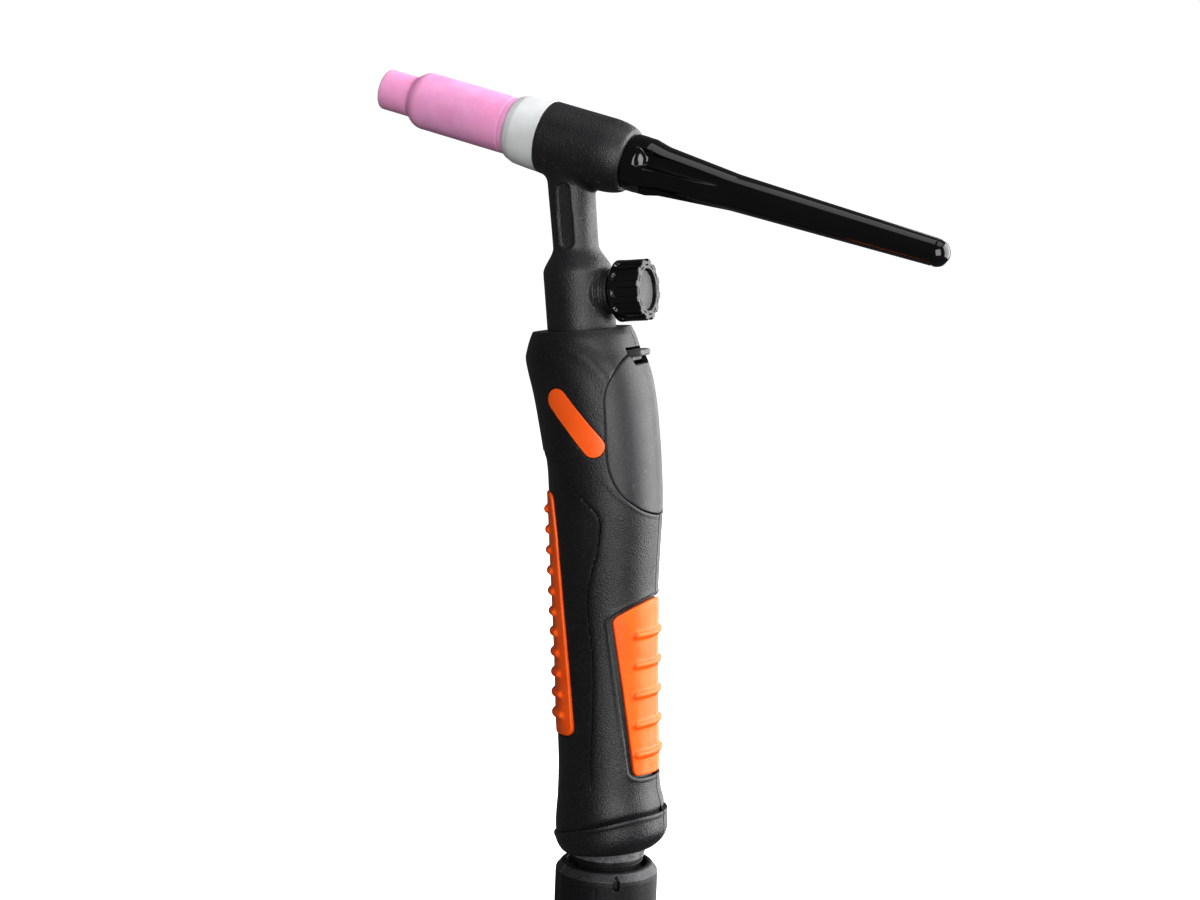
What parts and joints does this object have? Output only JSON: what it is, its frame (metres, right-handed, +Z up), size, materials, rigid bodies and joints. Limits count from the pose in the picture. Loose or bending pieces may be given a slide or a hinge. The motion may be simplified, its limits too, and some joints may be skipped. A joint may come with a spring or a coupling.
{
  "type": "tig torch",
  "caption": "Hand-held TIG welding torch with an angled head, ceramic cup, long fluted back cap, gas valve knob and a grip handle on a swivelling knuckle.",
  "frame": {"origin": "end of the power and gas stud inside the handle, on the neck axis", "axes": "+Z up the neck axis towards the head, +X towards the valve knob and back cap, +Y to the torch's right side"},
  "size_m": [0.191, 0.0354, 0.3219],
  "materials": {
    "insulation": "fine grained satin black moulding",
    "brass": "machined",
    "copper": "drawn copper",
    "seal_rubber": "smooth nitrile",
    "dark_steel": "blackened and turned",
    "steel": "zinc plated",
    "knob_black": "polished phenolic",
    "knob_grey": "satin",
    "tungsten": "ground",
    "alumina": "unglazed pink alumina, matte",
    "gasket_white": "smooth fluoropolymer, slightly translucent",
    "cap_black": "polished phenolic",
    "handle_black": "fine spark-eroded grain",
    "cover_grey": "smooth satin",
    "latch_grey": "satin",
    "pad_orange": "soft satin elastomer",
    "badge_orange": "smooth satin",
    "knuckle_grey": "coarse grain",
    "nut_black": "satin, fine grain"
  },
  "bodies": {
    "root": {"torch_body": "insulation", "head_core": "brass", "gas_tube": "copper", "valve_block": "brass", "power_stud": "brass", "packing_nut": "dark_steel", "collet_body": "brass", "collet": "copper", "handle_left": "handle_black", "handle_right": "handle_black", "handle_screws": "steel", "front_pad_left": "pad_orange", "front_pad_right": "pad_orange", "rear_pad_left": "pad_orange", "rear_pad_right": "pad_orange", "badge_left": "badge_orange", "badge_right": "badge_orange"},
    "valve_seal": {"spindle_o_ring": "seal_rubber"},
    "valve": {"valve_spindle": "brass", "valve_knob": "knob_black", "knob_disc": "knob_grey", "knob_screw": "steel"},
    "electrode": {"electrode": "tungsten"},
    "gasket": {"cup_gasket": "gasket_white"},
    "cup": {"cup": "alumina"},
    "cap_seal": {"back_cap_o_ring": "seal_rubber"},
    "back_cap": {"back_cap": "cap_black", "back_cap_insert": "brass"},
    "module_cover": {"module_cover": "cover_grey"},
    "cover_latch": {"cover_latch": "latch_grey"},
    "knuckle_seat": {"ball_seat": "knuckle_grey"},
    "knuckle": {"knuckle_ball": "knuckle_grey"},
    "nut_seal": {"neck_seal": "seal_rubber"},
    "cable_nut": {"cable_nut": "nut_black", "clamp_ring": "dark_steel"}
  },
  "joints": [
    {"name": "valve_turn", "type": "hinge", "parent": "root", "child": "valve_seal", "pos_m": [0, 0, 0.06], "axis": [1, 0, 0], "range_deg": [0, 720]},
    {"name": "valve_lift", "type": "slide", "parent": "valve_seal", "child": "valve", "axis": [1, 0, 0], "range_m": [0, 0.0015]},
    {"name": "electrode_slide", "type": "slide", "parent": "root", "child": "electrode", "axis": [-0.9426, 0, 0.3338], "range_m": [0, 0.012]},
    {"name": "cup_turn", "type": "hinge", "parent": "root", "child": "gasket", "pos_m": [0, 0, 0.1087], "axis": [-0.9426, 0, 0.3338], "range_deg": [0, 1800]},
    {"name": "cup_advance", "type": "slide", "parent": "gasket", "child": "cup", "axis": [-0.9426, 0, 0.3338], "range_m": [0, 0.008]},
    {"name": "back_cap_turn", "type": "hinge", "parent": "root", "child": "cap_seal", "pos_m": [0, 0, 0.1087], "axis": [0.9426, 0, -0.3338], "range_deg": [0, 3240]},
    {"name": "back_cap_advance", "type": "slide", "parent": "cap_seal", "child": "back_cap", "axis": [0.9426, 0, -0.3338], "range_m": [0, 0.01125]},
    {"name": "module_cover_swing", "type": "hinge", "parent": "root", "child": "module_cover", "pos_m": [0.0228, 0, -0.0127], "axis": [0, 1, 0], "range_deg": [0, 40]},
    {"name": "cover_latch_flex", "type": "hinge", "parent": "root", "child": "cover_latch", "pos_m": [0.0166, 0, 0.0385], "axis": [0, -1, 0], "range_deg": [0, 8], "stiffness_Nm_per_rad": 0.02},
    {"name": "knuckle_twist", "type": "hinge", "parent": "root", "child": "knuckle_seat", "pos_m": [-0.004, 0, -0.1195], "axis": [0.0454, 0, 0.999], "range_deg": [-180, 180]},
    {"name": "knuckle_tilt", "type": "hinge", "parent": "knuckle_seat", "child": "knuckle", "pos_m": [-0.004, 0, -0.1195], "axis": [0, 1, 0], "range_deg": [-15, 6.5]},
    {"name": "cable_nut_turn", "type": "hinge", "parent": "knuckle", "child": "nut_seal", "pos_m": [-0.004, 0, -0.1195], "axis": [-0.1201, 0, -0.9928], "range_deg": [0, 1080]},
    {"name": "cable_nut_lower", "type": "slide", "parent": "nut_seal", "child": "cable_nut", "axis": [-0.1201, 0, -0.9928], "range_m": [0, 0.006]}
  ],
  "couplings": [
    {"joint": "valve_turn", "follows": "valve_lift", "rad_per_m": 8377.5},
    {"joint": "cup_turn", "follows": "cup_advance", "rad_per_m": 3926.9},
    {"joint": "back_cap_turn", "follows": "back_cap_advance", "rad_per_m": 5026.5},
    {"joint": "cable_nut_turn", "follows": "cable_nut_lower", "rad_per_m": 3141.5}
  ]
}
